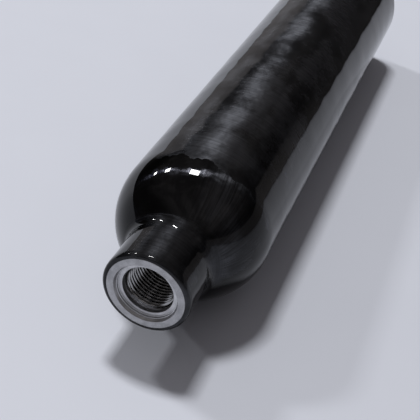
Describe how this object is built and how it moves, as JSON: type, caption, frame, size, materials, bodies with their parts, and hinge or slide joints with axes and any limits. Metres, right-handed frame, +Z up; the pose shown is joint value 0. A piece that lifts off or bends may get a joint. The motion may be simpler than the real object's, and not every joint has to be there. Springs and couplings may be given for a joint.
{
  "type": "composite gas cylinder",
  "caption": "Glossy wound carbon-fibre gas cylinder with a long straight wall, domed ends and an internally threaded aluminium neck.",
  "frame": {"origin": "on the cylinder's axis, where the neck thread begins, behind the mouth face", "axes": "+Y along the axis from the mouth to the base, -Y out of the mouth, +Z up with the cylinder lying on its side"},
  "size_m": [0.0584, 0.2865, 0.0584],
  "materials": {
    "aluminium": "fine turned",
    "glass_ply": "wound glass fibre in epoxy",
    "carbon_ply": "wound carbon fibre in epoxy",
    "clear_coat": "clear gloss coat over black carbon",
    "plug": "moulded"
  },
  "bodies": {
    "root": {"liner": "aluminium", "barrier_ply": "glass_ply", "inner_helical_ply": "carbon_ply", "hoop_ply": "carbon_ply", "outer_ply": "carbon_ply", "neck_band": "carbon_ply", "gel_coat": "clear_coat", "base_plug": "plug"}
  },
  "joints": []
}
